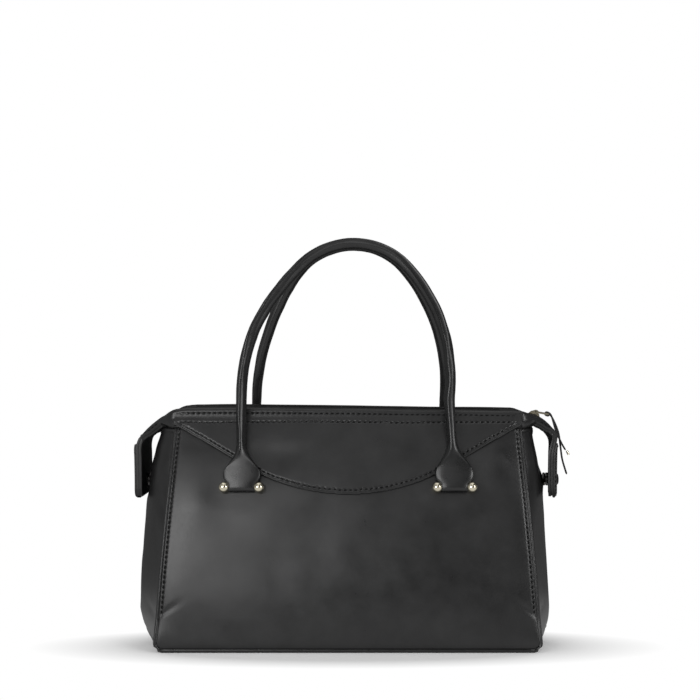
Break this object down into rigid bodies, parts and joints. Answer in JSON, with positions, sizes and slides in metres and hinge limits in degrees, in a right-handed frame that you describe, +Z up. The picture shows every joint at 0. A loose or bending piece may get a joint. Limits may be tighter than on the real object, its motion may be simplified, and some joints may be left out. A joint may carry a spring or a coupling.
{
  "type": "top handle bag",
  "caption": "Black leather satchel with twin rolled handles on ball-studded bars, a scalloped yoke, folded gussets, a top zip and snap-down end tabs.",
  "frame": {"origin": "centre of the base's flat underside, where the bag stands", "axes": "+X to the bag's right as the picture shows it, +Y from the front panel to the back, +Z up"},
  "size_m": [0.3669, 0.15, 0.3297],
  "materials": {
    "leather": "smooth semi-gloss",
    "lining": "matt twill",
    "tape": "woven",
    "board": "matt fibreboard",
    "core": "matt",
    "metal": "polished pale gold"
  },
  "bodies": {
    "bag": {"base_panel": "leather", "base_board": "board", "base_lining": "lining", "front_panel": "leather", "back_panel": "leather", "front_lining": "lining", "back_lining": "lining", "left_gusset": "leather", "right_gusset": "leather", "left_gusset_lining": "lining", "right_gusset_lining": "lining", "left_gusset_binding": "leather", "right_gusset_binding": "leather", "front_yoke": "leather", "back_yoke": "leather", "front_left_seam_edge": "leather", "front_right_seam_edge": "leather", "back_left_seam_edge": "leather", "back_right_seam_edge": "leather", "front_zip_facing": "leather", "back_zip_facing": "leather", "left_wing": "leather", "right_wing": "leather", "zip_tapes": "tape", "front_zip_teeth": "metal", "back_zip_teeth": "metal", "zip_stops": "metal", "left_snap_stud": "metal", "right_snap_stud": "metal", "front_studs": "metal", "back_studs": "metal", "front_bars": "metal", "back_bars": "metal", "stud_washers": "metal", "stud_screws": "metal", "front_stay": "leather", "back_stay": "leather"},
    "front_handle": {"front_handle_roll": "leather", "front_handle_core": "core", "front_handle_flares": "leather", "front_handle_loops": "leather"},
    "back_handle": {"back_handle_roll": "leather", "back_handle_core": "core", "back_handle_flares": "leather", "back_handle_loops": "leather"},
    "left_tab": {"left_tab_strap": "leather", "left_tab_backing": "leather", "left_tab_patch": "leather", "left_snap_cap": "metal", "left_snap_socket": "metal"},
    "right_tab": {"right_tab_strap": "leather", "right_tab_backing": "leather", "right_tab_patch": "leather", "right_snap_cap": "metal", "right_snap_socket": "metal"},
    "zip_slider": {"slider": "metal"},
    "zip_pull": {"pull_link": "metal", "pull_upper_tail": "leather", "pull_lower_tail": "leather", "pull_tip": "metal"}
  },
  "joints": [
    {"name": "front_handle_fold", "type": "hinge", "parent": "bag", "child": "front_handle", "pos_m": [0, -0.0538, 0.12557], "axis": [1, 0, 0], "range_deg": [0, 110]},
    {"name": "back_handle_fold", "type": "hinge", "parent": "bag", "child": "back_handle", "pos_m": [0, 0.0538, 0.12557], "axis": [-1, 0, 0], "range_deg": [0, 110]},
    {"name": "left_tab_lift", "type": "hinge", "parent": "bag", "child": "left_tab", "pos_m": [-0.17088, 0, 0.16378], "axis": [0, 1, 0], "range_deg": [0, 90]},
    {"name": "right_tab_lift", "type": "hinge", "parent": "bag", "child": "right_tab", "pos_m": [0.17088, 0, 0.16378], "axis": [0, -1, 0], "range_deg": [0, 90]},
    {"name": "zip_slide", "type": "slide", "parent": "bag", "child": "zip_slider", "axis": [-1, 0, 0], "range_m": [0, 0.299], "deforming": ["pull_upper_tail", "pull_lower_tail", "pull_tip"]},
    {"name": "pull_swing", "type": "hinge", "parent": "zip_slider", "child": "zip_pull", "pos_m": [0.16015, 0, 0.18195], "axis": [0, -1, 0], "range_deg": [0, 150]}
  ]
}
